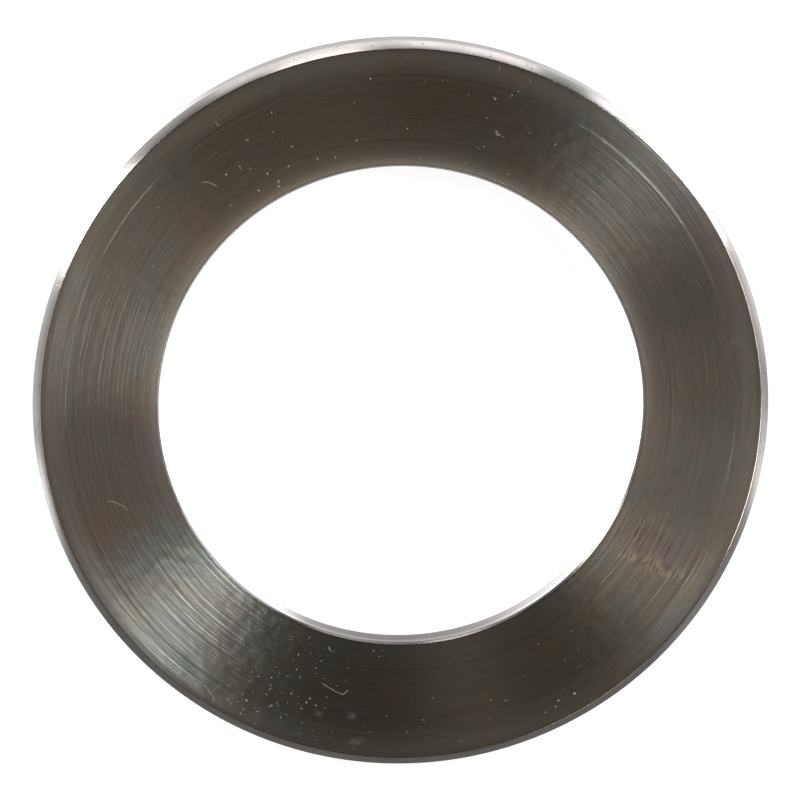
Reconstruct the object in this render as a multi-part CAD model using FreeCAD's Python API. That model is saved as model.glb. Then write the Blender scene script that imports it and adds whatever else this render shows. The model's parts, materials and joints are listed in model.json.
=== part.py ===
import FreeCAD, Part
import math
import os

# Thrust washer: one flat steel ring, turned, hardened, ground on both faces and tumbled.
# It lies flat. The origin is the centre of the back face, +Z runs up the bore to the front face.
# All sizes are in millimetres.

# Bore, and the width of the flat ring from the bore out to the rim
bore_diameter = 50.0
ring_width = 13.0

# Height from the back face to the front face
thickness = 4.2

# Turned chamfer round the rim, the same on both faces: its width along the face and its depth
rim_chamfer_width = 0.8
rim_chamfer_depth = 0.8

# Turned chamfer at each mouth of the bore
bore_chamfer_width = 0.2
bore_chamfer_depth = 0.2

# Tumbling rolls the edge of each face off a little before the rim chamfer starts
edge_roll_width = 0.5
edge_roll_drop = 0.01
edge_roll_radius = 18.0

# Tumbling also leaves a small round on each edge of the chamfers
face_edge_round = 0.15
rim_edge_round = 0.1
bore_edge_round = 0.05


def half_section():
    """The front half of the ring's section, from the bore wall to the rim: each corner's radius from
    the axis, its height above the middle plane, and the radius of the round on it."""
    bore_wall = bore_diameter / 2
    rim = bore_wall + ring_width
    face = thickness / 2
    face_edge = rim - rim_chamfer_width
    rolled_edge = face - edge_roll_drop
    return [
        (bore_wall, face - bore_chamfer_depth, bore_edge_round),
        (bore_wall + bore_chamfer_width, face, bore_edge_round),
        (face_edge - edge_roll_width, face, edge_roll_radius),
        (face_edge, rolled_edge, face_edge_round),
        (rim, rolled_edge - rim_chamfer_depth, rim_edge_round),
    ]


def whole_section():
    """The front half and its mirror image behind the middle plane, as one closed loop of corners in
    the plane through the axis, with heights measured from the back face."""
    front = half_section()
    back = [(across, -height, rounding) for across, height, rounding in reversed(front)]
    middle = thickness / 2
    return [(FreeCAD.Vector(across, 0, middle + height), rounding)
            for across, height, rounding in front + back]


def rounded_corner(before, corner, after, rounding):
    """The tangent arc that rounds a corner: where it starts, its middle point and where it ends."""
    back = (before - corner).normalize()
    onward = (after - corner).normalize()
    half_angle = back.getAngle(onward) / 2
    run = rounding / math.tan(half_angle)
    rise = rounding / math.sin(half_angle) - rounding
    return corner + back * run, corner + (back + onward).normalize() * rise, corner + onward * run


def outline(corners):
    """A closed wire round the section: a tangent arc at each corner and a straight edge between."""
    count = len(corners)
    arcs = []
    for index, (corner, rounding) in enumerate(corners):
        before = corners[index - 1][0]
        after = corners[(index + 1) % count][0]
        arcs.append(rounded_corner(before, corner, after, rounding))
    edges = []
    for index, (start, middle, end) in enumerate(arcs):
        next_start = arcs[(index + 1) % count][0]
        edges.append(Part.Arc(start, middle, end).toShape())
        edges.append(Part.LineSegment(end, next_start).toShape())
    return Part.Wire(edges)


def thrust_washer():
    """The ring: its section turned once round the axis."""
    section = Part.Face(outline(whole_section()))
    return section.revolve(FreeCAD.Vector(0, 0, 0), FreeCAD.Vector(0, 0, 1), 360)


os.makedirs("parts", exist_ok=True)
washer = thrust_washer()
washer.exportStep("parts/thrust_washer.step")
print("thrust_washer", washer.ShapeType, washer.isValid(), round(washer.Volume, 3))
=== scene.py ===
import json
import math
import random

import bpy
from mathutils import Matrix, Vector


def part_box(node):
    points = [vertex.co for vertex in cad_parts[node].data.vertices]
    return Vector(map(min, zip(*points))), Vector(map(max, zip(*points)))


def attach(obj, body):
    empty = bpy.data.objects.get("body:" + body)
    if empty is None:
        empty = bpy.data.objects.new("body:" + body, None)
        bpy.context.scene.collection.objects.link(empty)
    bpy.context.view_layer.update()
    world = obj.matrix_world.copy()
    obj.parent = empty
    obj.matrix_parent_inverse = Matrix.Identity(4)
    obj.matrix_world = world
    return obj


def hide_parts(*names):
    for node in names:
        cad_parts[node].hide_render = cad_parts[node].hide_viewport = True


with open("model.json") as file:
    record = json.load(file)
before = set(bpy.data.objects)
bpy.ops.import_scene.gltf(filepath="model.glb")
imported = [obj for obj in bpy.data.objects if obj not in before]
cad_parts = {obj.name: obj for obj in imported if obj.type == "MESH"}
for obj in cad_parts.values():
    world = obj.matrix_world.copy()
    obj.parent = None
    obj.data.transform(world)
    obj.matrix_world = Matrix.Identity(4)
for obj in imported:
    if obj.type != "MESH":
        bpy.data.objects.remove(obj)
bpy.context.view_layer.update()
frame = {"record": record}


# The ring
# One flat washer, turned from bar, hardened, ground on both faces and tumbled. Its section, turned once
# round the axis, is two walls, four chamfers and two long flats that roll off a little before the rim.
MM = 0.001
low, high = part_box("thrust_washer")
rim_radius = high.x
thickness = high.z
bore = next(mount for mount in frame["record"]["mounts"] if mount["name"] == "bore")
bore_radius = bore["dims"]["r_mm"] * MM

rim_chamfer = 0.8 * MM
bore_chamfer = 0.2 * MM
edge_roll_width = 0.5 * MM
edge_roll_drop = 0.01 * MM
edge_roll_radius = 18 * MM
face_edge_round = 0.15 * MM
rim_edge_round = 0.1 * MM
bore_edge_round = 0.05 * MM
arc_steps = 6
support_gap = 0.04 * MM
mouth_margin = 0.1 * MM
turn_steps = 540

# The ring that running against its mate left in the front face: a crest and a shallow step down that
# fades out towards the rim. Each pair is a distance out from the line and a depth under the face.
wear_line_radius = 34.43 * MM
wear_line = [(-1.0 * MM, 0), (-0.27 * MM, 0.006 * MM), (-0.02 * MM, 0), (0.28 * MM, 0.026 * MM),
             (0.45 * MM, 0.025 * MM), (1.6 * MM, 0)]
wear_line_steps = 4

# The line is deepest at one bearing, in degrees. A quarter turn away this share of its depth is gone,
# and opposite it twice as much.
wear_deepest_at = 75
wear_share_that_fades = 0.4

# Two fainter rings from the lapping plate: radius, half width and depth of each groove
lapping_grooves = [
    (30.10 * MM, 0.08 * MM, 0.003 * MM),
    (27.90 * MM, 0.08 * MM, 0.004 * MM),
]


def section_corners():
    """Corners of the closed section as (radius, height, round), from the bore wall round to it again."""
    face_edge = rim_radius - rim_chamfer
    middle = thickness / 2
    rolled = middle - edge_roll_drop
    front = [
        (bore_radius, middle - bore_chamfer, bore_edge_round),
        (bore_radius + bore_chamfer, middle, bore_edge_round),
        (face_edge - edge_roll_width, middle, edge_roll_radius),
        (face_edge, rolled, face_edge_round),
        (rim_radius, rolled - rim_chamfer, rim_edge_round),
    ]
    back = [(across, -up, rounding) for across, up, rounding in reversed(front)]
    return [(Vector((across, 0, middle + up)), rounding) for across, up, rounding in front + back]


def corner_arc(before, corner, after, rounding):
    """Points of the tangent arc at a corner, with one more point each side that keeps the flats flat."""
    back = (before - corner).normalized()
    onward = (after - corner).normalized()
    half = back.angle(onward) / 2
    run = rounding / math.tan(half)
    centre = corner + (back + onward).normalized() * (rounding / math.sin(half))
    start = corner + back * run
    end = corner + onward * run
    arm_a = start - centre
    arm_b = end - centre
    sweep = arm_a.angle(arm_b)
    points = [start + back * support_gap]
    for step in range(arc_steps + 1):
        share = step / arc_steps
        spread = (arm_a * math.sin((1 - share) * sweep) + arm_b * math.sin(share * sweep))
        points.append(centre + spread / math.sin(sweep))
    points.append(end + onward * support_gap)
    return points


def groove_points(radius, half_width, depth):
    """A shallow vee in the front face, in order from the rim side to the bore side."""
    steps = [(2, 0), (1, 0), (0.5, 0.5), (0, 1), (-0.5, 0.5), (-1, 0), (-2, 0)]
    return [Vector((radius + across * half_width, 0, thickness - down * depth)) for across, down in steps]


def wear_line_points():
    """The worn line's rise and fall, eased from each of its depths to the next, from the bore side."""
    points = [Vector((wear_line_radius + wear_line[0][0], 0, thickness))]
    for (inner, inner_depth), (outer, outer_depth) in zip(wear_line, wear_line[1:]):
        for step in range(1, wear_line_steps + 1):
            share = step / wear_line_steps
            ease = share * share * (3 - 2 * share)
            points.append(Vector((wear_line_radius + inner + (outer - inner) * share, 0,
                                  thickness - inner_depth - (outer_depth - inner_depth) * ease)))
    return points


def section_points():
    """The whole closed section, with the grooves and the worn line let into the flat of the front face."""
    corners = section_corners()
    points = []
    for index, (corner, rounding) in enumerate(corners):
        before = corners[index - 1][0]
        after = corners[(index + 1) % len(corners)][0]
        points += corner_arc(before, corner, after, rounding)
        if index == 1:
            for groove in reversed(lapping_grooves):
                points += reversed(groove_points(*groove))
            points += wear_line_points()
    return points + points[:1]


def add_node(tree, kind, inputs=None, **settings):
    """A node of a tree with its settings made and its inputs set to values or linked to sockets."""
    node = tree.nodes.new(kind)
    for name, value in settings.items():
        setattr(node, name, value)
    for name, value in (inputs or {}).items():
        if isinstance(value, bpy.types.NodeSocket):
            tree.links.new(value, node.inputs[name])
        else:
            node.inputs[name].default_value = value
    return node


def math_node(tree, operation, a, b=0.0, c=0.0, clamp=False):
    """One step of arithmetic."""
    node = add_node(tree, "ShaderNodeMath", {0: a, 1: b, 2: c}, operation=operation, use_clamp=clamp)
    return node.outputs[0]


def new_tree_input(tree, name, kind, value=None):
    socket = tree.interface.new_socket(name, in_out="INPUT", socket_type=kind)
    if value is not None:
        socket.default_value = value


def turned_ring_tree():
    """Sweeps the section once round the axis, unrolls a map round it and gives each zone its finish."""
    tree = bpy.data.node_groups.new("Turned ring", "GeometryNodeTree")
    new_tree_input(tree, "Section", "NodeSocketGeometry")
    new_tree_input(tree, "Steps round", "NodeSocketInt", turn_steps)
    new_tree_input(tree, "Deepest at", "NodeSocketFloat", math.radians(wear_deepest_at))
    new_tree_input(tree, "Share that fades", "NodeSocketFloat", wear_share_that_fades)
    new_tree_input(tree, "Mouth radius", "NodeSocketFloat", bore_radius + bore_chamfer + mouth_margin)
    for finish in ("Face finish", "Chamfer finish", "Mouth finish", "Wall finish"):
        new_tree_input(tree, finish, "NodeSocketMaterial")
    tree.interface.new_socket("Ring", in_out="OUTPUT", socket_type="NodeSocketGeometry")
    given = tree.nodes.new("NodeGroupInput").outputs
    result = tree.nodes.new("NodeGroupOutput")

    section = given["Section"]
    size = add_node(tree, "GeometryNodeAttributeDomainSize", {0: section}, component="MESH")
    count = size.outputs["Point Count"]
    rows = math_node(tree, "ADD", given["Steps round"], 1.0)
    grid = add_node(tree, "GeometryNodeMeshGrid", {"Vertices X": rows, "Vertices Y": count})

    index = tree.nodes.new("GeometryNodeInputIndex").outputs[0]
    turn = math_node(tree, "FLOOR", math_node(tree, "DIVIDE", math_node(tree, "ADD", index, 0.5), count))
    place = math_node(tree, "SUBTRACT", index, math_node(tree, "MULTIPLY", turn, count))
    share = math_node(tree, "DIVIDE", turn, given["Steps round"])
    position = tree.nodes.new("GeometryNodeInputPosition").outputs[0]
    corner = add_node(tree, "GeometryNodeSampleIndex",
                      {"Geometry": section, "Value": position, "Index": place},
                      data_type="FLOAT_VECTOR", domain="POINT")
    along_field = add_node(tree, "GeometryNodeInputNamedAttribute", {"Name": "along"}, data_type="FLOAT")
    along = add_node(tree, "GeometryNodeSampleIndex",
                     {"Geometry": section, "Value": along_field.outputs[0], "Index": place},
                     data_type="FLOAT", domain="POINT")
    bearing = math_node(tree, "MULTIPLY", share, math.tau)
    swung = add_node(tree, "ShaderNodeVectorRotate", {"Vector": corner.outputs[0], "Angle": bearing},
                     rotation_type="Z_AXIS")

    # The worn line is deepest on one side of the ring and shallower on the other
    worn_field = add_node(tree, "GeometryNodeInputNamedAttribute", {"Name": "worn"}, data_type="FLOAT")
    worn = add_node(tree, "GeometryNodeSampleIndex",
                    {"Geometry": section, "Value": worn_field.outputs[0], "Index": place},
                    data_type="FLOAT", domain="POINT")
    from_deepest = math_node(tree, "SUBTRACT", bearing, given["Deepest at"])
    fading = math_node(tree, "SUBTRACT", 1.0, math_node(tree, "COSINE", from_deepest))
    fading = math_node(tree, "MULTIPLY", fading, given["Share that fades"])
    lift = math_node(tree, "MULTIPLY", fading, worn.outputs[0])
    raised = add_node(tree, "ShaderNodeCombineXYZ", {"Z": lift})
    placed = add_node(tree, "GeometryNodeSetPosition",
                      {"Geometry": grid.outputs["Mesh"], "Position": swung.outputs[0],
                       "Offset": raised.outputs[0]})
    flat_map = add_node(tree, "ShaderNodeCombineXYZ", {"X": share, "Y": along.outputs[0]})
    unrolled = add_node(tree, "GeometryNodeFieldOnDomain", {0: flat_map.outputs[0]},
                        data_type="FLOAT_VECTOR", domain="POINT")
    mapped = add_node(tree, "GeometryNodeStoreNamedAttribute",
                      {"Geometry": placed.outputs[0], "Name": "OFBake", "Value": unrolled.outputs[0]},
                      data_type="FLOAT2", domain="CORNER")
    closed = add_node(tree, "GeometryNodeMergeByDistance",
                      {"Geometry": mapped.outputs[0], "Distance": 0.0001 * MM})
    smooth = add_node(tree, "GeometryNodeSetShadeSmooth", {"Geometry": closed.outputs[0]})

    normal = tree.nodes.new("GeometryNodeInputNormal").outputs[0]
    facing = math_node(tree, "ABSOLUTE", add_node(tree, "ShaderNodeSeparateXYZ", {0: normal}).outputs["Z"])
    on_wall = math_node(tree, "LESS_THAN", facing, 0.2)
    on_face = math_node(tree, "GREATER_THAN", facing, 0.99)
    flat = add_node(tree, "ShaderNodeVectorMath", {0: position, 1: (1.0, 1.0, 0.0)}, operation="MULTIPLY")
    reach = add_node(tree, "ShaderNodeVectorMath", {0: flat.outputs[0]}, operation="LENGTH").outputs[1]
    at_mouth = math_node(tree, "LESS_THAN", reach, given["Mouth radius"])
    finished = add_node(tree, "GeometryNodeSetMaterial",
                        {"Geometry": smooth.outputs[0], "Material": given["Chamfer finish"]})
    for selection, finish in ((at_mouth, "Mouth finish"), (on_wall, "Wall finish"),
                              (on_face, "Face finish")):
        finished = add_node(tree, "GeometryNodeSetMaterial",
                            {"Geometry": finished.outputs[0], "Selection": selection,
                             "Material": given[finish]})
    whole = add_node(tree, "GeometryNodeRealizeInstances", {"Geometry": finished.outputs[0]})
    tree.links.new(whole.outputs[0], result.inputs[0])
    return tree


def turned_tangent(tree):
    """The direction that the tool ran in, round the ring."""
    return add_node(tree, "ShaderNodeTangent", direction_type="UV_MAP", uv_map="OFBake").outputs[0]


def vector_node(tree, x, y, z):
    return add_node(tree, "ShaderNodeCombineXYZ", {"X": x, "Y": y, "Z": z}).outputs[0]


def eased(tree, value, start, end, low=0.0, high=1.0):
    """A smooth step from low to high while the value goes from start to end."""
    return add_node(tree, "ShaderNodeMapRange",
                    {"Value": value, "From Min": start, "From Max": end, "To Min": low, "To Max": high},
                    interpolation_type="SMOOTHSTEP").outputs["Result"]


def spread(tree, value, low, high):
    """A noise value round 0.5 stretched so that it mostly fills low to high."""
    return add_node(tree, "ShaderNodeMapRange",
                    {"Value": value, "From Min": 0.3, "From Max": 0.7, "To Min": low, "To Max": high}
                    ).outputs["Result"]


def blended(tree, share, first, second):
    """Two colours, or a colour and a socket, mixed by a share."""
    node = add_node(tree, "ShaderNodeMix", {"Factor": share}, data_type="RGBA")
    for socket, value in ((node.inputs[6], first), (node.inputs[7], second)):
        if isinstance(value, bpy.types.NodeSocket):
            tree.links.new(value, socket)
        else:
            socket.default_value = (*value, 1)
    return node.outputs[2]


class TurnedPlace:
    """Where a point of the ring lies: its radius and height in millimetres, and its bearing."""

    def __init__(self, tree):
        self.tree = tree
        place = tree.nodes.new("ShaderNodeTexCoord").outputs["Object"]
        flat = add_node(tree, "ShaderNodeVectorMath", {0: place, 1: (1 / MM, 1 / MM, 0.0)},
                        operation="MULTIPLY")
        length = add_node(tree, "ShaderNodeVectorMath", {0: flat.outputs[0]}, operation="LENGTH")
        self.radius = length.outputs[1]
        bearing = add_node(tree, "ShaderNodeVectorMath", {0: flat.outputs[0]}, operation="NORMALIZE")
        self.bearing = add_node(tree, "ShaderNodeSeparateXYZ", {0: bearing.outputs[0]}).outputs
        self.place = add_node(tree, "ShaderNodeVectorMath", {0: place, 1: (1 / MM, 1 / MM, 1 / MM)},
                              operation="MULTIPLY").outputs[0]
        self.height = add_node(tree, "ShaderNodeSeparateXYZ", {0: self.place}).outputs["Z"]

    def streaks(self, across, along, round_per_turn, detail=4.0, roughness=0.6):
        """Noise drawn out along the turning: so many grains a millimetre across and along the section,
        and so many in a radius round it."""
        tree = self.tree
        section = math_node(tree, "ADD", math_node(tree, "MULTIPLY", self.radius, across),
                            math_node(tree, "MULTIPLY", self.height, along))
        stretched = vector_node(tree, section,
                                math_node(tree, "MULTIPLY", self.bearing["X"], round_per_turn),
                                math_node(tree, "MULTIPLY", self.bearing["Y"], round_per_turn))
        return add_node(tree, "ShaderNodeTexNoise",
                        {"Vector": stretched, "Scale": 1.0, "Detail": detail, "Roughness": roughness}
                        ).outputs[0]

    def facing(self, degrees):
        """How much a point's bearing agrees with a bearing in degrees, from -1 to 1."""
        turn = math.radians(degrees)
        tree = self.tree
        return math_node(tree, "ADD", math_node(tree, "MULTIPLY", self.bearing["X"], math.cos(turn)),
                         math_node(tree, "MULTIPLY", self.bearing["Y"], math.sin(turn)))


def product(tree, first, *others):
    """Values multiplied together."""
    for other in others:
        first = math_node(tree, "MULTIPLY", first, other)
    return first


def total(tree, first, *others):
    """Values added together."""
    for other in others:
        first = math_node(tree, "ADD", first, other)
    return first


def shaded(tree, colour, share):
    """A colour made brighter or darker by a share."""
    return add_node(tree, "ShaderNodeVectorMath", {0: colour, "Scale": share}, operation="SCALE").outputs[0]


def new_finish(name):
    material = bpy.data.materials.new(name)
    material.use_nodes = True
    material.node_tree.nodes.clear()
    return material, material.node_tree


def steel_shader(tree, colour, metallic, roughness, height, relief, anisotropic):
    """Bare steel whose scratches run round the ring, so that its lights draw out into fans."""
    bump = add_node(tree, "ShaderNodeBump", {"Height": height, "Distance": relief, "Strength": 1.0})
    shader = add_node(tree, "ShaderNodeBsdfPrincipled",
                      {"Base Color": colour, "Metallic": metallic, "Roughness": roughness,
                       "Anisotropic": anisotropic, "Anisotropic Rotation": 0.25,
                       "Tangent": turned_tangent(tree), "Normal": bump.outputs[0]})
    add_node(tree, "ShaderNodeOutputMaterial", {"Surface": shader.outputs[0]})


def patch(at, x, y, length, width, degrees):
    """1 in the middle of an oval patch of the face and 0 outside it: its place and size in millimetres
    and the direction of its length."""
    tree = at.tree
    offset = add_node(tree, "ShaderNodeVectorMath", {0: at.place, 1: (x, y, 0.0)}, operation="SUBTRACT")
    turned = add_node(tree, "ShaderNodeVectorRotate",
                      {"Vector": offset.outputs[0], "Angle": math.radians(-degrees)}, rotation_type="Z_AXIS")
    drawn = add_node(tree, "ShaderNodeVectorMath", {0: turned.outputs[0], 1: (2 / length, 2 / width, 0.0)},
                     operation="MULTIPLY")
    far = add_node(tree, "ShaderNodeVectorMath", {0: drawn.outputs[0]}, operation="LENGTH").outputs[1]
    return eased(tree, far, 1.15, 0.15)


# Noises drawn out along the face's scratches: grains a millimetre across them, grains a radius round
# the ring, octaves and the strength of the finer octaves
face_noises = {
    "hair": (6.0, 2.4, 4.0, 0.7),
    "scratches": (5.0, 6.0, 1.0, 0.5),
    "bands": (2.6, 2.1, 1.5, 0.5),
    "teeth": (2.8, 26.0, 2.0, 0.6),
    "dashes": (3.4, 14.0, 2.0, 0.5),
    "spots": (0.8, 22.0, 1.5, 0.5),
    "mottle": (0.16, 4.5, 3.0, 0.75),
    "clouds": (0.12, 2.2, 1.0, 0.5),
}

# How deep each of them is cut into the face, in steps of the face's relief, and that step in
# millimetres. Round one bearing, in degrees, at the top of the picture, the face is cut less.
cut_depths = {"hair": 0.8, "scratches": 1.5, "bands": 3.7, "dashes": 0.8, "spots": 3.4}
face_relief = 0.01
top_bearing = 95
cut_share_at_top = 0.6

# The scratches lean towards the bore by this much, in radians, up to where the rim's edge rolls off
scratch_lean = 0.095
lean_ends = (rim_radius - rim_chamfer - edge_roll_width) / MM + 0.05

# Across the worn line the tops of the scratches fall this much further. The fall starts and ends so
# far outside the line, and lies off centre, all in millimetres. On the left it faces the other way.
burnished_fall = 0.019
burnish_from = 0.03
burnish_to = 0.33
burnish_off_centre = 0.1
burnish_turns_at = 171
burnish_turned_share = -1.6

# Rings that hold dark oil: radius and width in millimetres, and how much darker
oily_rings = [(27.85, 0.16, 0.32), (31.05, 0.12, 0.18), (30.6, 0.12, 0.15)]

# The last half millimetre before the rim's chamfer is darker and ends in a thin dark line, and another
# runs at the bore's edge: two radii in millimetres, and the brightness at each
edge_shades = [(36.45, 36.85, 1.0, 0.86), (36.98, 37.1, 1.0, 0.78), (25.26, 25.42, 0.7, 1.0)]

# Dirt kept at the bore's edge, thick at the top and thin all round, and near the rim: how far it
# reaches from the bore, or between which radii it grows, in millimetres. A film of it lies all over.
bore_dirt_edge = 25.35
thick_dirt_reach = 0.65
thin_dirt_reach = 2.2
rim_dirt_from = 33.2
rim_dirt_to = 38.6
film_all_over = 0.005

# Where the oily stain lies on the face, and smudges of dry dirt: x, y, length, width and direction
stain_core = (26.2, -16.9, 11.6, 2.2, -22.4)
stain_around = (26.2, -14.9, 11.4, 4.4, -22.0)
smudges = [(-8.45, -32.5, 1.1, 0.7, -10.0), (-5.0, -32.7, 1.4, 1.0, 0.0), (-4.6, -35.4, 2.4, 1.0, 10.0),
           (34.1, 6.5, 2.3, 0.5, 42.0), (29.7, -21.6, 3.4, 0.45, 54.0), (30.5, -16.9, 4.8, 0.3, -2.5)]


def face_shade(at, noise):
    """How bright the bare face is: fine scratches, rings of oil and the two edges."""
    tree = at.tree
    shade = total(tree, spread(tree, noise["hair"], -0.03, 0.03), spread(tree, noise["dashes"], -0.02, 0.02),
                  1.0)
    for ring_radius, ring_width, darker in oily_rings:
        off_ring = math_node(tree, "ABSOLUTE", math_node(tree, "SUBTRACT", at.radius, ring_radius))
        in_ring = eased(tree, off_ring, ring_width / 2, 0.0, 0.0, darker)
        oil = product(tree, in_ring, spread(tree, noise["dashes"], 0.4, 1.2))
        shade = math_node(tree, "SUBTRACT", shade, oil)
    return product(tree, shade, *[eased(tree, at.radius, *edge) for edge in edge_shades])


def face_dirt(at, noise, golden):
    """The share of the face that dry dirt covers, with the stain's gold and the smudges."""
    tree = at.tree
    from_bore = math_node(tree, "SUBTRACT", bore_dirt_edge, at.radius)
    towards_top = at.facing(top_bearing)
    thick = math_node(tree, "EXPONENT", math_node(tree, "DIVIDE", from_bore, thick_dirt_reach))
    thin = math_node(tree, "EXPONENT", math_node(tree, "DIVIDE", from_bore, thin_dirt_reach))
    near_rim = eased(tree, at.radius, rim_dirt_from, rim_dirt_to)
    layers = [
        product(tree, thick, eased(tree, towards_top, -0.5, 0.35, 0.0, 0.27)),
        product(tree, near_rim, spread(tree, noise["clouds"], 0.09, 0.18),
                eased(tree, towards_top, -0.95, -0.3, 0.5, 1.0),
                eased(tree, towards_top, 0.4, 0.95, 1.0, 0.74)),
        product(tree, thin, spread(tree, noise["clouds"], 0.05, 0.09),
                eased(tree, towards_top, -0.85, -0.2, 0.12, 1.0)),
        film_all_over,
        product(tree, golden, 0.055),
    ]
    speckle = add_node(tree, "ShaderNodeTexNoise",
                       {"Vector": at.place, "Scale": 3.6, "Detail": 2.0, "Roughness": 0.6}).outputs[0]
    for smudge in smudges:
        layers.append(product(tree, patch(at, *smudge), spread(tree, speckle, 0.0, 0.15)))
    return total(tree, *layers)


def face_height(at, noise):
    """The relief of the face in steps: leaning scratches, the worn line's burnish and each noise."""
    tree = at.tree
    leaning_part = math_node(tree, "SMOOTH_MIN", at.radius, lean_ends, 0.6)
    leaning_scratches = product(tree, leaning_part, scratch_lean / face_relief)
    line_at = wear_line_radius / MM
    off_centre = math_node(tree, "MULTIPLY_ADD", at.facing(top_bearing), burnish_off_centre, at.radius)
    fall = product(tree,
                   eased(tree, off_centre, line_at + burnish_from, line_at + burnish_to,
                         0.0, -burnished_fall / face_relief),
                   eased(tree, at.facing(burnish_turns_at), 0.95, 0.985, 1.0, burnish_turned_share))
    calm = eased(tree, at.facing(top_bearing), 0.8, 0.99, 1.0, cut_share_at_top)
    cuts = [product(tree, noise[name], depth, calm) for name, depth in cut_depths.items()]
    return total(tree, leaning_scratches, fall, *cuts)


def lapped_face(name, warm, cool, gold, violet):
    """Lapped steel: fine rings of scratches, patches of warm and cool oxide, a hazy band at each edge,
    a few smudges and one oily stain with a golden core."""
    material, tree = new_finish(name)
    at = TurnedPlace(tree)
    noise = {kind: at.streaks(across, 0.0, around, octaves, finer)
             for kind, (across, around, octaves, finer) in face_noises.items()}
    oxide = blended(tree, spread(tree, noise["mottle"], 0.1, 0.9), warm, cool)
    bare = shaded(tree, oxide, face_shade(at, noise))

    # The stain is violet round a core of short golden teeth, with dark steel bitten out between them
    oily = patch(at, *stain_around)
    core = patch(at, *stain_core)
    teeth = eased(tree, noise["teeth"], 0.45, 0.56)
    golden = product(tree, core, teeth)
    between = product(tree, core, math_node(tree, "SUBTRACT", 1.0, teeth))
    bitten = total(tree, product(tree, oily, eased(tree, noise["dashes"], 0.55, 0.64)),
                   product(tree, between, 0.5))
    colour = blended(tree, product(tree, oily, 0.6), bare, violet)
    colour = blended(tree, product(tree, golden, 0.72), colour, gold)
    colour = shaded(tree, colour, math_node(tree, "SUBTRACT", 1.0, product(tree, bitten, 0.4)))

    metallic = math_node(tree, "SUBTRACT", 1.0, face_dirt(at, noise, golden), clamp=True)
    roughness = total(tree, spread(tree, noise["hair"], 0.27, 0.29), product(tree, golden, 0.05))
    steel_shader(tree, colour, metallic, roughness, face_height(at, noise), face_relief * MM, 0.9)
    return material


# A lighter band, painted sheen that stands in for a reflection, sets in between these two heights of
# the bore's wall, in millimetres, and a dark line above it, at the very edge. The wall of the rim,
# further out, shows the band less.
sheen_from = 2.4
sheen_to = 3.3
sheen_share_at_rim = 0.35
dark_line_from = 3.68
dark_line_to = 3.8
dark_line_colour = (0.10, 0.095, 0.095)

# Tool marks on the edges: how high they stand, in millimetres, and how many times as deep a nick is
tool_mark_relief = 0.003
nick_depth = 1.5

# A rim chamfer's middle, as its radius less its height off the middle plane, in millimetres, and how
# fast its crown falls off on both sides of it, in steps of the tool marks' relief
chamfer_middle = (rim_radius - thickness / 2 + edge_roll_drop) / MM
chamfer_crown = 8.8


def turned_edge(name, bright, dull, roughness_low, roughness_high, anisotropic, across, painted_sheen=None,
                crown=0.0):
    """Turned steel: tool lines round the ring, with duller patches and small bright nicks, and with a
    painted sheen band under a dark line and a crown where one is asked for."""
    material, tree = new_finish(name)
    at = TurnedPlace(tree)
    lines = at.streaks(across, 9.0, 3.0, 4.0, 0.7)
    patches = at.streaks(0.5, 0.5, 7.0, 3.0, 0.6)
    nicks = add_node(tree, "ShaderNodeTexNoise",
                     {"Vector": at.place, "Scale": 1.7, "Detail": 3.0, "Roughness": 0.7}).outputs[0]
    colour = blended(tree, spread(tree, patches, 0.0, 1.0), bright, dull)
    # The band's lighter colour is painted sheen that stands in for a reflection, with a dark line at the
    # edge
    if painted_sheen is not None:
        on_sheen = product(tree, eased(tree, at.height, sheen_from, sheen_to),
                          eased(tree, at.radius, 37.0, 26.0, sheen_share_at_rim, 1.0))
        colour = blended(tree, on_sheen, colour, painted_sheen)
        colour = blended(tree, eased(tree, at.height, dark_line_from, dark_line_to), colour, dark_line_colour)
    colour = shaded(tree, colour, total(tree, spread(tree, lines, 0.92, 1.06),
                                        eased(tree, nicks, 0.62, 0.7, 0.0, -0.25)))
    roughness = total(tree, spread(tree, lines, roughness_low, roughness_high),
                      spread(tree, patches, -0.02, 0.03))

    # Tumbling leaves the rim chamfers a little crowned between their two edges
    up = math_node(tree, "ABSOLUTE", math_node(tree, "SUBTRACT", at.height, thickness / MM / 2))
    off_middle = math_node(tree, "SUBTRACT", math_node(tree, "SUBTRACT", at.radius, up), chamfer_middle)
    height = total(tree, lines, product(tree, eased(tree, nicks, 0.6, 0.72), -nick_depth),
                   product(tree, off_middle, off_middle, -crown))
    steel_shader(tree, colour, 1.0, roughness, height, tool_mark_relief * MM, anisotropic)
    return material


face_finish = lapped_face("lapped face", warm=(0.60, 0.502, 0.42), cool=(0.49, 0.539, 0.53),
                          gold=(0.56, 0.50, 0.33), violet=(0.56, 0.47, 0.47))
chamfer_finish = turned_edge("turned chamfer", bright=(0.66, 0.64, 0.63), dull=(0.58, 0.56, 0.54),
                             roughness_low=0.16, roughness_high=0.22, anisotropic=0.5, across=9.0,
                             crown=chamfer_crown)
mouth_finish = turned_edge("turned mouth", bright=(0.29, 0.285, 0.285), dull=(0.25, 0.24, 0.24),
                           roughness_low=0.16, roughness_high=0.22, anisotropic=0.5, across=9.0)
# The wall's steel is darker than the chamfers': turned steel, darkened further as painted shade
wall_finish = turned_edge("turned wall", bright=(0.41, 0.375, 0.38), dull=(0.36, 0.33, 0.335),
                          roughness_low=0.22, roughness_high=0.3, anisotropic=0.6, across=0.0,
                          painted_sheen=(0.70, 0.68, 0.69))


def mesh_object(name, vertices, edges, faces):
    mesh = bpy.data.meshes.new(name)
    mesh.from_pydata(vertices, edges, faces)
    piece = bpy.data.objects.new(name, mesh)
    bpy.context.scene.collection.objects.link(piece)
    return piece


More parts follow.
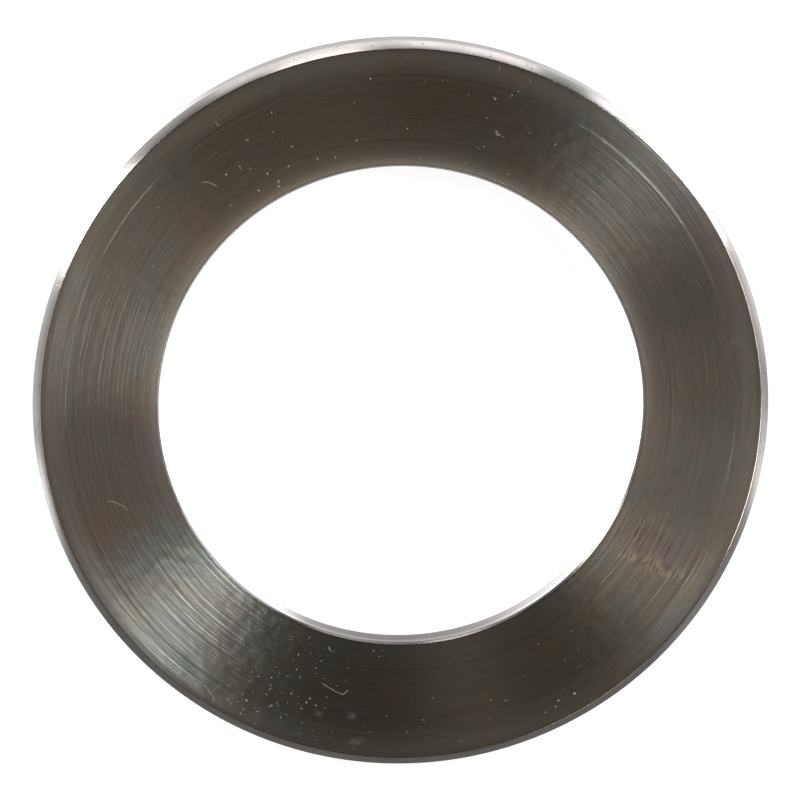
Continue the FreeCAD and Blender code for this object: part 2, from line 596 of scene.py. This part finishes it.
def grown(piece, tree, **values):
    """Turns a piece into the plain mesh that a geometry tree makes of it with its named inputs set."""
    modifier = piece.modifiers.new(tree.name, "NODES")
    modifier.node_group = tree
    for item in tree.interface.items_tree:
        if item.item_type == "SOCKET" and item.in_out == "INPUT" and item.name in values:
            modifier[item.identifier] = values[item.name]
    bpy.context.view_layer.update()
    evaluated = piece.evaluated_get(bpy.context.evaluated_depsgraph_get())
    mesh = bpy.data.meshes.new_from_object(evaluated)
    piece.modifiers.remove(modifier)
    piece.data = mesh


outline = section_points()
ring = mesh_object("washer_ring", outline, [(i, i + 1) for i in range(len(outline) - 1)], [])
steps = [(b - a).length for a, b in zip(outline, outline[1:])]
along = ring.data.attributes.new("along", "FLOAT", "POINT")
along.data.foreach_set("value", [sum(steps[:i]) / sum(steps) for i in range(len(outline))])
worn = ring.data.attributes.new("worn", "FLOAT", "POINT")
line_from = wear_line_radius + wear_line[0][0]
line_to = wear_line_radius + wear_line[-1][0]
worn_depths = [thickness - point.z if line_from < point.x < line_to and point.z > thickness / 2 else 0.0
               for point in outline]
worn.data.foreach_set("value", worn_depths)
grown(ring, turned_ring_tree(), **{"Steps round": turn_steps, "Face finish": face_finish,
                                    "Chamfer finish": chamfer_finish, "Mouth finish": mouth_finish,
                                    "Wall finish": wall_finish})
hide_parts("thrust_washer")
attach(ring, "root")


# The camera
# A long lens looks down on the front face, from 11 degrees off the axis towards the top of the picture.
photo_width = 800
sensor = 36.0
focal_pixels = 10098
tilt = math.radians(10.90)
lean = math.radians(100.38)
face_centre_pixel = (400.57, 405.29)
rim_radius_pixels = 368.50

pixels_per_metre = rim_radius_pixels / rim_radius
face_centre = Vector((0, 0, thickness))
leaning = Vector((math.cos(lean), math.sin(lean), 0))
upright = Vector((0, 0, 1))
towards_camera = upright * math.cos(tilt) + leaning * math.sin(tilt)
across = leaning.cross(upright)
rising = leaning * math.cos(tilt) - upright * math.sin(tilt)
roll = lean - math.pi / 2
picture_right = across * math.cos(roll) - rising * math.sin(roll)
picture_up = across * math.sin(roll) + rising * math.cos(roll)
frame_middle = (photo_width - 1) / 2
aside = (frame_middle - face_centre_pixel[0]) / pixels_per_metre
above = (face_centre_pixel[1] - frame_middle) / pixels_per_metre
eye = (face_centre + towards_camera * (focal_pixels / pixels_per_metre)
       + picture_right * aside + picture_up * above)

lens = bpy.data.cameras.new("long lens")
lens.sensor_width = sensor
lens.lens = sensor * focal_pixels / photo_width
lens.clip_start = 0.05
lens.clip_end = 20
camera = bpy.data.objects.new("camera", lens)
camera.matrix_world = Matrix.Translation(eye) @ Matrix(
    (picture_right, picture_up, towards_camera)).transposed().to_4x4()
bpy.context.scene.collection.objects.link(camera)
bpy.context.scene.camera = camera
bpy.context.scene.view_settings.view_transform = "Standard"


# The dust
# Fine grit and pale specks that have settled on the front face. The larger ones lie where the
# photograph shows them and the rest are strewn, thickest at the lower left. They ride on the ring.
grain_radius = 0.075 * MM
speck_height = 0.03 * MM


def on_face(pixel, lift=0.0):
    """The point of the front face that a pixel of the photograph shows."""
    x, y = pixel
    ray = (picture_right * (x - frame_middle) + picture_up * (frame_middle - y)
           - towards_camera * focal_pixels)
    share = (thickness + lift - eye.z) / ray.z
    return eye + ray * share


upper_left_specks = [(271, 112, 1.0), (292, 146, 1.2), (317, 158, 1.3), (335, 157, 1.3), (288, 166, 1.3),
                     (267, 173, 1.4), (278, 181, 1.8), (278, 186, 1.5), (258, 190, 1.5), (231, 205, 1.1),
                     (370, 78, 1.3), (356, 140, 1.1), (407, 128, 1.2), (226, 174, 1.2), (250, 168, 1.1),
                     (239, 166, 1.3), (240, 168, 1.0)]
upper_right_specks = [(442, 80, 0.8), (468, 94, 0.8), (499, 68, 0.9), (518, 91, 0.8), (478, 148, 0.8),
                      (555, 144, 1.1), (508, 174, 1.1), (677, 250, 0.9), (623, 251, 0.8), (734, 378, 0.8),
                      (495, 98.5, 1.2), (493.5, 97, 0.9), (530, 81, 0.9), (554, 81.5, 1.0), (496, 131, 1.3),
                      (497, 134.5, 1.2), (502, 136, 0.8), (483, 146, 0.9), (466, 163, 1.0), (529, 133, 0.8),
                      (495, 180, 0.9), (499, 181, 0.9), (502, 183, 1.1), (505, 184, 0.9), (498, 184, 0.8)]
lower_left_specks = [(258, 676, 1.2), (271, 677, 1.2), (279, 673, 0.9), (275, 667, 0.9), (270, 685, 1.0),
                     (266, 694, 0.9), (271, 705, 1.2), (246, 700, 1.3), (242, 678, 0.8), (257, 711, 1.1),
                     (243, 709, 1.2), (240, 713, 1.1), (291, 693, 1.2), (293, 660, 0.9), (287, 702, 0.8),
                     (280, 717, 0.9), (309, 637, 0.8), (147, 538, 1.1), (146, 526, 0.8), (107, 447, 0.9),
                     (309, 698, 1.0), (306, 702, 1.4), (301, 708, 1.1), (315.5, 705, 1.2), (269, 689, 0.9),
                     (299.5, 677, 0.9), (315, 667.5, 0.9), (298, 654, 0.9), (296, 669, 0.9), (253, 692, 0.7),
                     (227.5, 699, 1.0), (272, 670, 0.8)]
lower_right_specks = [(574, 693, 1.7), (558, 700, 1.3), (555, 706, 1.2), (545, 712, 1.1), (571, 631, 0.8),
                      (538, 644, 0.8), (505, 700, 0.9), (432, 698, 0.9)]

# The strewn specks keep off both edges. Half of them gather round one bearing, in degrees. Their sizes
# are shares of the grain's, most of them near the smallest.
strewn_specks = 260
edge_margin = 0.3 * MM
gather_bearing = 243
gather_spread = 13
smallest_strewn = 0.42
size_spread = 0.45

# What starts each of the two rows of chance numbers: the places strewn and the shapes of the grains
strewing_seed = 11
grain_seed = 5

strew = random.Random(strewing_seed)
grains = []
for x, y, size in upper_left_specks + upper_right_specks + lower_left_specks + lower_right_specks:
    grains.append((on_face((x, y)), size))
flat_inner = bore_radius + bore_chamfer + edge_margin
flat_outer = rim_radius - rim_chamfer - edge_margin
for speck in range(strewn_specks):
    reach = math.sqrt(strew.uniform(flat_inner ** 2, flat_outer ** 2))
    if strew.random() < 0.5:
        bearing = math.radians(strew.gauss(gather_bearing, gather_spread))
    else:
        bearing = strew.uniform(0, math.tau)
    size = smallest_strewn + size_spread * strew.random() ** 2
    grains.append((Vector((reach * math.cos(bearing), reach * math.sin(bearing), thickness)), size))


def settled_dust_tree():
    """Puts a small squashed grain, turned and sized by chance, on each point."""
    tree = bpy.data.node_groups.new("Settled dust", "GeometryNodeTree")
    new_tree_input(tree, "Specks", "NodeSocketGeometry")
    new_tree_input(tree, "Grain radius", "NodeSocketFloat", grain_radius)
    new_tree_input(tree, "Grain height", "NodeSocketFloat", speck_height)
    new_tree_input(tree, "Seed", "NodeSocketInt", grain_seed)
    new_tree_input(tree, "Dust finish", "NodeSocketMaterial")
    tree.interface.new_socket("Dust", in_out="OUTPUT", socket_type="NodeSocketGeometry")
    given = tree.nodes.new("NodeGroupInput").outputs
    result = tree.nodes.new("NodeGroupOutput")

    grain = add_node(tree, "GeometryNodeMeshIcoSphere", {"Radius": 1.0, "Subdivisions": 2})
    rough = add_node(tree, "ShaderNodeTexNoise", {"Scale": 0.9, "Detail": 1.0})
    position = tree.nodes.new("GeometryNodeInputPosition").outputs[0]
    size = add_node(tree, "GeometryNodeInputNamedAttribute", {"Name": "size"}, data_type="FLOAT").outputs[0]
    length = add_node(tree, "FunctionNodeRandomValue", {2: 0.7, 3: 1.5, "Seed": given["Seed"]},
                      data_type="FLOAT").outputs[1]
    width = math_node(tree, "MULTIPLY", math_node(tree, "MULTIPLY", size, given["Grain radius"]), length)
    breadth = math_node(tree, "DIVIDE", math_node(tree, "MULTIPLY", size, given["Grain radius"]), length)
    scale = vector_node(tree, width, breadth, math_node(tree, "MULTIPLY", given["Grain height"], 0.9))
    turn = add_node(tree, "FunctionNodeRandomValue",
                    {2: 0.0, 3: math.tau, "Seed": math_node(tree, "ADD", given["Seed"], 1.0)},
                    data_type="FLOAT").outputs[1]
    turned = vector_node(tree, 0.0, 0.0, turn)
    strewn = add_node(tree, "GeometryNodeInstanceOnPoints",
                      {"Points": given["Specks"], "Instance": grain.outputs[0], "Rotation": turned,
                       "Scale": scale})
    whole = add_node(tree, "GeometryNodeRealizeInstances", {"Geometry": strewn.outputs[0]})
    # Noise of about a ninth of a millimetre pushes each grain's surface in and out, so that none is round
    coarse = add_node(tree, "ShaderNodeVectorMath", {0: position, 1: (9 / MM, 9 / MM, 9 / MM)},
                      operation="MULTIPLY")
    tree.links.new(coarse.outputs[0], rough.inputs["Vector"])
    shift = add_node(tree, "ShaderNodeVectorMath", {0: rough.outputs["Color"], 1: (0.5, 0.5, 0.5)},
                     operation="SUBTRACT")
    small = add_node(tree, "ShaderNodeVectorMath", {0: shift.outputs[0], 1: (0.12 * MM, 0.12 * MM, 0.0)},
                     operation="MULTIPLY")
    broken = add_node(tree, "GeometryNodeSetPosition",
                      {"Geometry": whole.outputs[0], "Offset": small.outputs[0]})
    dusted = add_node(tree, "GeometryNodeSetMaterial",
                      {"Geometry": broken.outputs[0], "Material": given["Dust finish"]})
    tree.links.new(dusted.outputs[0], result.inputs[0])
    return tree


def matt_dirt(name, pale, dark, scale):
    """A dry matt surface with a fine mottle."""
    material, tree = new_finish(name)
    place = tree.nodes.new("ShaderNodeTexCoord").outputs["Object"]
    mottle = add_node(tree, "ShaderNodeTexNoise",
                      {"Vector": place, "Scale": scale, "Detail": 3.0}).outputs[0]
    colour = blended(tree, spread(tree, mottle, 0.0, 1.0), pale, dark)
    bump = add_node(tree, "ShaderNodeBump", {"Height": mottle, "Distance": 0.01 * MM, "Strength": 0.6})
    shader = add_node(tree, "ShaderNodeBsdfPrincipled",
                      {"Base Color": colour, "Roughness": spread(tree, mottle, 0.8, 0.95),
                       "Normal": bump.outputs[0]})
    add_node(tree, "ShaderNodeOutputMaterial", {"Surface": shader.outputs[0]})
    return material


dust_finish = matt_dirt("pale dust", (0.48, 0.45, 0.40), (0.27, 0.25, 0.21), 4000.0)
specks = mesh_object("dust_specks", [place for place, size in grains], [], [])
sizes = specks.data.attributes.new("size", "FLOAT", "POINT")
sizes.data.foreach_set("value", [size for place, size in grains])
grown(specks, settled_dust_tree(), **{"Grain radius": grain_radius, "Grain height": speck_height,
                                      "Seed": grain_seed, "Dust finish": dust_finish})
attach(specks, "root")


# The lint
# Loose cotton and paper fibres, 0.4 to 3.1 mm long, that lie on the front face where the photograph
# shows them. Each is a thin tube drawn along the pixels that it covers. They ride on the ring.
fibre_radius = 0.024 * MM
fibre_steps = 24
fibres = {
    "curved one at the upper left": [(201.4, 181.7), (207, 181.8), (211, 183.2), (216.5, 186)],
    "dash below the upper left edge": [(214.4, 121.2), (216, 123), (218.2, 125.8)],
    "short dash inside it": [(244.8, 138.2), (246.2, 139.5), (248, 140.6)],
    "long one at the left": [(106, 502), (112, 501), (119, 504), (124, 507), (128, 511)],
    "crook at the lower left": [(204.6, 684.5), (208.5, 691), (212.2, 696), (213.2, 699), (212.2, 702.5)],
    "hook at the bottom": [(321.7, 683), (330, 688), (338, 692.5), (343, 693.5), (347.5, 690)],
    "dash above the hook": [(328, 646), (329, 648.5), (331, 651)],
    "dash at the left edge": [(75, 282), (76, 284), (76.5, 287)],
    "dash at the top": [(495, 132), (497, 133), (500, 135)],
}


def fibre_tree():
    """Draws a thin round fibre, thinner at its ends, along each path."""
    tree = bpy.data.node_groups.new("Loose fibre", "GeometryNodeTree")
    new_tree_input(tree, "Paths", "NodeSocketGeometry")
    new_tree_input(tree, "Fibre radius", "NodeSocketFloat", fibre_radius)
    new_tree_input(tree, "Steps along", "NodeSocketInt", fibre_steps)
    new_tree_input(tree, "Lint finish", "NodeSocketMaterial")
    tree.interface.new_socket("Fibres", in_out="OUTPUT", socket_type="NodeSocketGeometry")
    given = tree.nodes.new("NodeGroupInput").outputs
    result = tree.nodes.new("NodeGroupOutput")

    path = add_node(tree, "GeometryNodeMeshToCurve", {"Mesh": given["Paths"]})
    curved = add_node(tree, "GeometryNodeCurveSplineType", {"Curve": path.outputs[0]},
                      spline_type="CATMULL_ROM")
    even = add_node(tree, "GeometryNodeResampleCurve",
                    {"Curve": curved.outputs[0], "Count": given["Steps along"]})
    along = tree.nodes.new("GeometryNodeSplineParameter").outputs["Factor"]
    from_middle = math_node(tree, "ABSOLUTE", math_node(tree, "MULTIPLY_ADD", along, 2.0, -1.0))
    taper = math_node(tree, "SUBTRACT", 1.0, math_node(tree, "MULTIPLY",
                                                       math_node(tree, "POWER", from_middle, 4.0), 0.6))
    tapered = add_node(tree, "GeometryNodeSetCurveRadius", {"Curve": even.outputs[0], "Radius": taper})
    profile = add_node(tree, "GeometryNodeCurvePrimitiveCircle",
                       {"Resolution": 6, "Radius": given["Fibre radius"]})
    tube = add_node(tree, "GeometryNodeCurveToMesh",
                    {"Curve": tapered.outputs[0], "Profile Curve": profile.outputs[0], "Fill Caps": True})
    whole = add_node(tree, "GeometryNodeRealizeInstances", {"Geometry": tube.outputs[0]})
    smooth = add_node(tree, "GeometryNodeSetShadeSmooth", {"Geometry": whole.outputs[0]})
    finished = add_node(tree, "GeometryNodeSetMaterial",
                        {"Geometry": smooth.outputs[0], "Material": given["Lint finish"]})
    tree.links.new(finished.outputs[0], result.inputs[0])
    return tree


lint_finish = matt_dirt("cotton lint", (0.52, 0.50, 0.44), (0.39, 0.38, 0.33), 3000.0)
path_points = []
path_edges = []
for pixels in fibres.values():
    first = len(path_points)
    path_points += [on_face(pixel, fibre_radius) for pixel in pixels]
    path_edges += [(first + step, first + step + 1) for step in range(len(pixels) - 1)]
lint = mesh_object("lint_fibres", path_points, path_edges, [])
grown(lint, fibre_tree(), **{"Fibre radius": fibre_radius, "Steps along": fibre_steps,
                             "Lint finish": lint_finish})
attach(lint, "root")


# The studio
# A white table under a dark ceiling, with soft boxes a metre and a half off all round and three flat
# cards on the table that only the steel shows, as for a photograph of bright metal. Their glow is
# painted reflection, and their grey near the walls is a painted shadow of the table.
floor_half = 3.0
floor_gap = 0.02 * MM
floor = mesh_object("floor", [(-floor_half, -floor_half, 0), (floor_half, -floor_half, 0),
                              (floor_half, floor_half, 0), (-floor_half, floor_half, 0)],
                    [], [(0, 1, 2, 3)])
floor.location.z = -floor_gap


def tone_by_bearing(tree, tones):
    """A brightness that goes from one bearing round the ring's axis to the next, in degrees."""
    bearing = TurnedPlace(tree).bearing
    turn = math_node(tree, "DIVIDE", math_node(tree, "ARCTAN2", bearing["Y"], bearing["X"]), math.tau)
    turn = math_node(tree, "FRACT", math_node(tree, "ADD", turn, 1.0))
    ramp = add_node(tree, "ShaderNodeValToRGB", {0: turn})
    stops = ramp.color_ramp.elements
    while len(stops) < len(tones):
        stops.new(0.5)
    brightest = max(tones.values())
    for stop, degrees in zip(stops, sorted(tones)):
        share = tones[degrees] / brightest
        stop.position = degrees / 360
        stop.color = (share, share, share, 1)
    return math_node(tree, "MULTIPLY", ramp.outputs[0], brightest)


def staged_surface(name, colour, glow):
    """A matt surface that also shows a plain brightness to the camera and in what shines, or one that
    changes with the bearing."""
    material, tree = new_finish(name)
    if isinstance(glow, dict):
        glow = tone_by_bearing(tree, glow)
    seen = tree.nodes.new("ShaderNodeLightPath").outputs
    seen_by = math_node(tree, "ADD", seen["Is Camera Ray"], seen["Is Glossy Ray"])
    seen_by = math_node(tree, "ADD", seen_by, seen["Is Transmission Ray"], clamp=True)
    matt = add_node(tree, "ShaderNodeBsdfDiffuse", {"Color": (*colour, 1)})
    shining = add_node(tree, "ShaderNodeEmission", {"Strength": math_node(tree, "MULTIPLY", seen_by, glow)})
    both = add_node(tree, "ShaderNodeAddShader", {0: matt.outputs[0], 1: shining.outputs[0]})
    add_node(tree, "ShaderNodeOutputMaterial", {"Surface": both.outputs[0]})
    return material


floor.data.materials.append(staged_surface("white table", (0.25, 0.25, 0.25), 0.9))


def reflected_card(name, inner, outer, tones):
    """A flat card round the ring's axis that shows only in what shines, with its tone by bearing."""
    bearings = [math.radians(bearing) for bearing in range(0, 361, 2)]
    points = [(reach * math.cos(bearing), reach * math.sin(bearing), floor_gap)
              for bearing in bearings for reach in (inner, outer)]
    card = mesh_object(name, points, [], [(i, i + 1, i + 3, i + 2) for i in range(0, len(points) - 2, 2)])
    card.data.materials.append(staged_surface(name, (0.06, 0.06, 0.06), tones))
    card.visible_camera = False
    card.visible_diffuse = False
    card.visible_shadow = False
    card.visible_transmission = False


# The cards are painted reflections. The far card is dark in front, white behind and grey at the two
# sides, with a bright strip between grey and dark, for the chamfers. The near ones are grey by the
# bore's lower wall and the rim's upper wall, a painted shadow of the table there, and white elsewhere.
far_painted_reflection_tones = {0: 0.40, 8: 1.05, 165: 0.9, 178: 0.66, 192: 0.75, 198: 1.5, 203: 1.1, 208: 0.34, 213: 0.2,
             222: 0.12, 232: 0.12, 306: 0.13, 313: 0.13, 320: 0.26, 330: 0.19, 338: 0.36, 344: 1.2,
             350: 0.88, 356: 0.46, 360: 0.40}
near_painted_reflection_tones = {0: 2.0, 15: 2.6, 50: 2.6, 60: 1.1, 70: 1.0, 110: 0.95, 120: 1.1, 132: 2.6, 165: 2.8,
              215: 2.8, 238: 2.6, 248: 0.75, 256: 0.56, 270: 0.47, 284: 0.6, 292: 0.8, 300: 1.3, 308: 1.8,
              318: 2.4, 330: 2.8, 350: 2.4, 360: 2.0}
card_gap = 0.05 * MM
bore_card_inner = 1 * MM
near_card_outer = 41.5 * MM
far_card_inner = 42 * MM
far_card_outer = 1.2
reflected_card("far_card", far_card_inner, far_card_outer, far_painted_reflection_tones)
reflected_card("near_card", rim_radius + card_gap, near_card_outer, near_painted_reflection_tones)
reflected_card("bore_card", bore_card_inner, bore_radius - card_gap, near_painted_reflection_tones)


def direction(azimuth, elevation):
    """The unit vector at an azimuth from +X and an elevation over the table, in degrees."""
    turn = math.radians(azimuth)
    rise = math.radians(elevation)
    return Vector((math.cos(rise) * math.cos(turn), math.cos(rise) * math.sin(turn), math.sin(rise)))


# Every box stands this far off: far enough for the whole ring to see it in the same direction
box_distance = 1.5


def soft_box(name, azimuth, elevation, width, height, brightness):
    """A rectangular lamp that faces the ring, as bright to look at as a surface of that radiance."""
    strongest = max(brightness)
    lamp = bpy.data.lights.new(name, "AREA")
    lamp.shape = "RECTANGLE"
    lamp.size = width
    lamp.size_y = height
    lamp.energy = strongest * math.pi * width * height
    lamp.color = [channel / strongest for channel in brightness]
    holder = bpy.data.objects.new(name, lamp)
    towards = direction(azimuth, elevation)
    holder.location = towards * box_distance
    holder.rotation_euler = towards.to_track_quat("Z", "Y").to_euler()
    holder.visible_camera = False
    bpy.context.scene.collection.objects.link(holder)


soft_box("right low box", 33.9, 5, 0.94, 0.30, (2.4, 2.4, 2.4))
soft_box("left low box", 156.6, 5, 0.58, 0.30, (2.4, 2.4, 2.4))
soft_box("back card right", 75.5, 6, 0.70, 0.32, (1.38, 1.31, 1.32))
soft_box("back card left", 106.9, 6, 0.93, 0.32, (0.89, 0.85, 0.86))
soft_box("right high box", 29.7, 49, 0.27, 0.26, (26.3, 27.7, 27.1))
soft_box("right side box", 8, 24, 0.70, 0.20, (12.2, 9.9, 9.2))
soft_box("front right box", 336.5, 28, 0.48, 0.34, (11.6, 10.4, 9.6))
soft_box("front box", 299, 24, 0.39, 0.20, (2.8, 2.35, 1.85))
soft_box("left high box", 155, 27, 0.47, 0.85, (9.6, 8.9, 8.1))
soft_box("left side box", 192, 40, 0.70, 0.60, (1.31, 1.13, 1.12))
soft_box("back box", 104, 24.6, 0.40, 0.58, (4.0, 3.55, 3.1))

# The room: a wall that is darker in front of the ring than behind it, and a dark ceiling, warm in front
wall_dark = 0.1
wall_bright = 0.46
dark_ceiling = (0.022, 0.023, 0.017)
warm_ceiling = (0.112, 0.085, 0.065)
world = bpy.context.scene.world or bpy.data.worlds.new("studio")
bpy.context.scene.world = world
world.use_nodes = True
sky = world.node_tree
sky.nodes.clear()
look = sky.nodes.new("ShaderNodeTexCoord").outputs["Generated"]
parts = add_node(sky, "ShaderNodeSeparateXYZ", {0: look}).outputs
wall_glow = eased(sky, parts["Y"], -0.45, -0.2, wall_dark, wall_bright)
above_wall = eased(sky, parts["Z"], 0.1, 0.26)
ceiling = blended(sky, eased(sky, parts["Y"], -0.1, -0.55), dark_ceiling, warm_ceiling)
room = blended(sky, above_wall, vector_node(sky, wall_glow, wall_glow, wall_glow), ceiling)
back_light = add_node(sky, "ShaderNodeBackground", {"Color": room, "Strength": 1.0})
add_node(sky, "ShaderNodeOutputWorld", {"Surface": back_light.outputs[0]})
